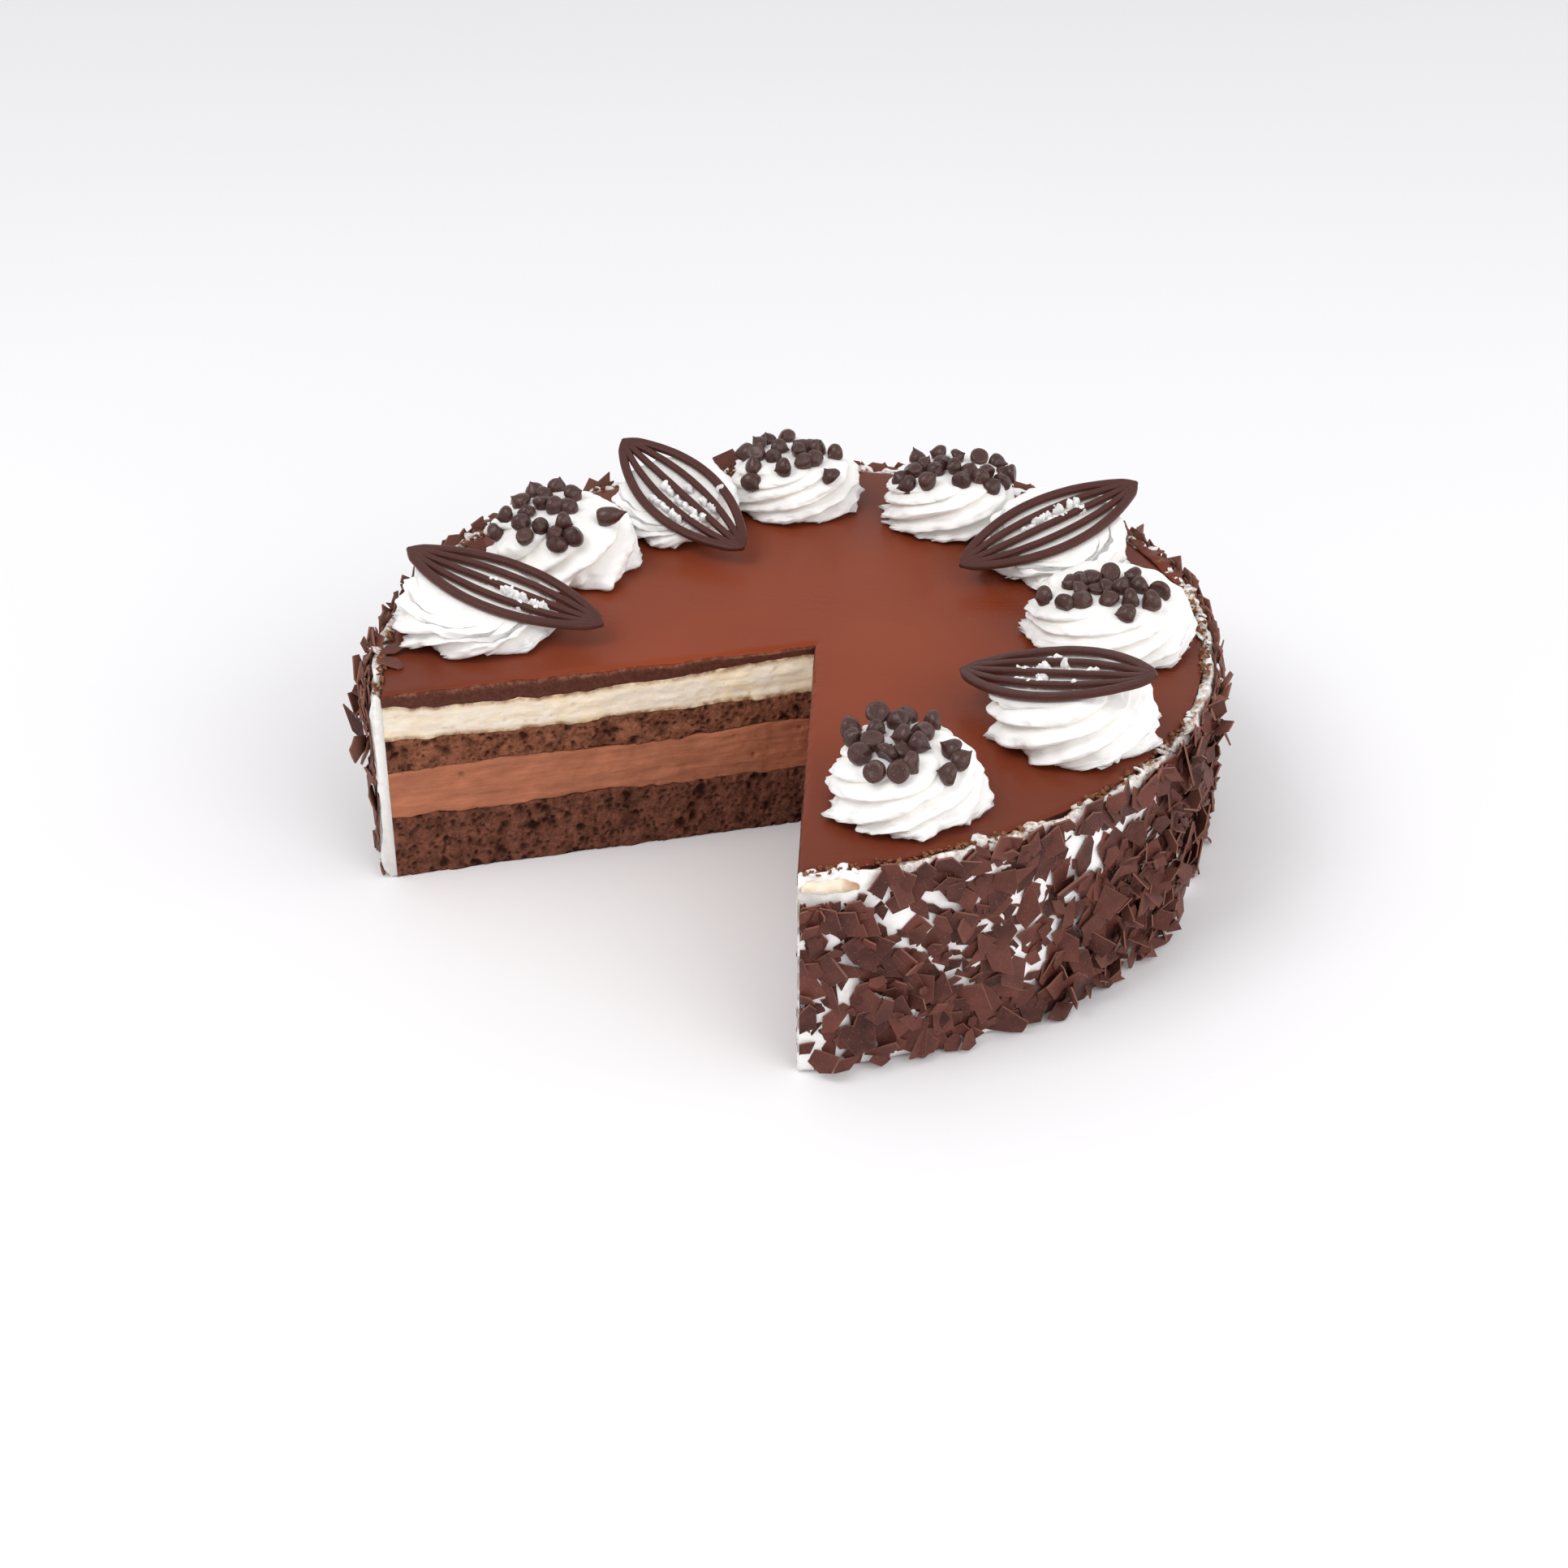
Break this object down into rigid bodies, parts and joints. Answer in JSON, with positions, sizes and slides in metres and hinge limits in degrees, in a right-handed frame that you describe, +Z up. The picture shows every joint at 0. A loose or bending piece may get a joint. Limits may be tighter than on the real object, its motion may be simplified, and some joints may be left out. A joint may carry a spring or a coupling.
{
  "type": "layer cake",
  "caption": "Round chocolate layer cake with a wedge cut out, flaked sides, piped cream rosettes, chocolate drops and pierced chocolate leaves.",
  "frame": {"origin": "centre of the cake's bounding box on the surface it stands on", "axes": "+Z up, -Y towards the side with the open wedge, +X to the right seen from there"},
  "size_m": [0.2495, 0.2574, 0.0882],
  "materials": {
    "sponge": "dark chocolate sponge with open crumb",
    "mousse": "smooth chocolate mousse",
    "filling": "ivory vanilla cream with fine pores",
    "glaze": "satin chocolate glaze",
    "whipped_cream": "white whipped cream",
    "dark_chocolate": "dark chocolate, satin"
  },
  "bodies": {
    "root": {"base_sponge": "sponge", "chocolate_mousse": "mousse", "upper_sponge": "sponge", "vanilla_cream": "filling", "chocolate_glaze": "glaze", "side_coat": "whipped_cream", "rosette_1": "whipped_cream", "rosette_2": "whipped_cream", "rosette_3": "whipped_cream", "rosette_4": "whipped_cream", "rosette_5": "whipped_cream", "rosette_6": "whipped_cream", "rosette_7": "whipped_cream", "rosette_8": "whipped_cream", "rosette_9": "whipped_cream", "leaf_1": "dark_chocolate", "leaf_2": "dark_chocolate", "leaf_3": "dark_chocolate", "leaf_4": "dark_chocolate"}
  },
  "joints": []
}
